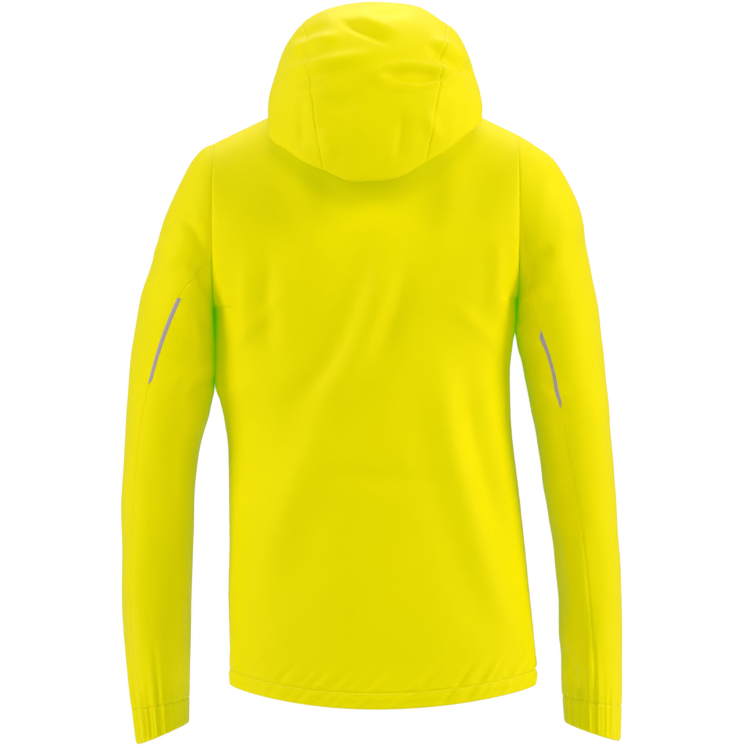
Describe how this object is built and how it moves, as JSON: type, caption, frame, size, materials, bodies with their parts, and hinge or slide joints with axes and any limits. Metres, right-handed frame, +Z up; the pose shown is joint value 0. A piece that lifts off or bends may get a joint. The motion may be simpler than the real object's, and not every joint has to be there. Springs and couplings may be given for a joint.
{
  "type": "hooded hardshell jacket",
  "caption": "Neon yellow hooded hardshell jacket, hanging filled out, with a full front zip, zipped hand pockets, a corded drop-tail hem and reflective strips in the sleeve seams.",
  "frame": {"origin": "below the middle of the jacket's box, at the height of its lowest cuff", "axes": "+Z up as worn, +X to the wearer's left, the front and its zip face -Y and the back faces +Y"},
  "size_m": [0.595, 0.278, 0.8809],
  "materials": {
    "shell_cloth": "smooth laminated three-layer cloth, neon yellow, semi-matte",
    "lining_cloth": "soft brushed grey backing",
    "zip_tape": "coated water-resistant zip tape",
    "zip_coil": "satin moulded coil",
    "slider_metal": "satin",
    "puller_plastic": "matte moulded puller",
    "elastic_yarn": "woven elastic and braided cord",
    "lock_plastic": "matte",
    "spring_steel": "polished",
    "reflective_tape": "retroreflective heat-bonded tape, satin"
  },
  "bodies": {
    "shell": {"back_panel": "shell_cloth", "front_panel_left": "shell_cloth", "front_panel_right": "shell_cloth", "hem_channel": "shell_cloth", "hood_centre_panel": "shell_cloth", "hood_side_left": "shell_cloth", "hood_side_right": "shell_cloth", "collar": "shell_cloth", "collar_facing": "lining_cloth", "hanger_loop": "lining_cloth", "wind_flap": "lining_cloth", "chin_guard": "lining_cloth", "hood_edge_binding": "lining_cloth", "pocket_bag_left": "lining_cloth", "pocket_bag_right": "lining_cloth", "main_zip_tape_left": "zip_tape", "main_zip_tape_right": "zip_tape", "pocket_zip_tape_left": "zip_tape", "pocket_zip_tape_right": "zip_tape", "main_zip_coil_left": "zip_coil", "main_zip_coil_right": "zip_coil", "main_zip_box": "zip_coil", "pocket_zip_coil_left": "zip_coil", "pocket_zip_coil_right": "zip_coil", "hem_drawcord": "elastic_yarn", "cord_lock_barrel_left": "lock_plastic", "cord_lock_barrel_right": "lock_plastic", "cord_lock_spring_left": "spring_steel", "cord_lock_spring_right": "spring_steel"},
    "main_zip_slider": {"main_zip_slider": "slider_metal", "main_zip_slider_inner": "slider_metal"},
    "main_zip_puller": {"main_zip_puller": "puller_plastic"},
    "pocket_slider_left": {"pocket_zip_left_slider": "slider_metal", "pocket_zip_left_slider_inner": "slider_metal"},
    "pocket_puller_left": {"pocket_zip_left_puller": "puller_plastic"},
    "sleeve_left": {"sleeve_outer_left": "shell_cloth", "sleeve_under_left": "shell_cloth", "cuff_left": "shell_cloth", "cuff_elastic_left": "elastic_yarn", "reflective_strip_left": "reflective_tape"},
    "lock_button_left": {"cord_lock_button_left": "lock_plastic"},
    "pocket_slider_right": {"pocket_zip_right_slider": "slider_metal", "pocket_zip_right_slider_inner": "slider_metal"},
    "pocket_puller_right": {"pocket_zip_right_puller": "puller_plastic"},
    "sleeve_right": {"sleeve_outer_right": "shell_cloth", "sleeve_under_right": "shell_cloth", "cuff_right": "shell_cloth", "cuff_elastic_right": "elastic_yarn", "reflective_strip_right": "reflective_tape"},
    "lock_button_right": {"cord_lock_button_right": "lock_plastic"}
  },
  "joints": [
    {"name": "main_zip_slide", "type": "slide", "parent": "shell", "child": "main_zip_slider", "axis": [0, 0.0349, 0.9994], "range_m": [-0.65, 0]},
    {"name": "main_zip_puller_hinge", "type": "hinge", "parent": "main_zip_slider", "child": "main_zip_puller", "pos_m": [-0.00293, -0.11653, 0.75532], "axis": [-1, 0, 0], "range_deg": [0, 170]},
    {"name": "pocket_zip_slide_left", "type": "slide", "parent": "shell", "child": "pocket_slider_left", "axis": [0.0036, 0.0268, 0.9996], "range_m": [-0.14, 0]},
    {"name": "pocket_puller_hinge_left", "type": "hinge", "parent": "pocket_slider_left", "child": "pocket_puller_left", "pos_m": [0.11844, -0.1037, 0.31598], "axis": [-0.8413, -0.5403, 0.0175], "range_deg": [0, 165]},
    {"name": "pocket_zip_slide_right", "type": "slide", "parent": "shell", "child": "pocket_slider_right", "axis": [0.0773, 0.0243, 0.9967], "range_m": [-0.14, 0]},
    {"name": "pocket_puller_hinge_right", "type": "hinge", "parent": "pocket_slider_right", "child": "pocket_puller_right", "pos_m": [-0.12124, -0.1038, 0.31579], "axis": [-0.8445, 0.533, 0.0525], "range_deg": [0, 165]},
    {"name": "sleeve_swing_left", "type": "hinge", "parent": "shell", "child": "sleeve_left", "pos_m": [0.2, -0.0262, 0.56], "axis": [1, 0, 0], "range_deg": [-20, 15]},
    {"name": "sleeve_swing_right", "type": "hinge", "parent": "shell", "child": "sleeve_right", "pos_m": [-0.2, -0.0262, 0.56], "axis": [1, 0, 0], "range_deg": [-20, 15]},
    {"name": "lock_button_slide_left", "type": "slide", "parent": "shell", "child": "lock_button_left", "axis": [0, 0, 1], "range_m": [-0.0025, 0], "stiffness_N_per_m": 600, "deforming": ["cord_lock_spring_left"]},
    {"name": "lock_button_slide_right", "type": "slide", "parent": "shell", "child": "lock_button_right", "axis": [0, 0, 1], "range_m": [-0.0025, 0], "stiffness_N_per_m": 600, "deforming": ["cord_lock_spring_right"]}
  ]
}
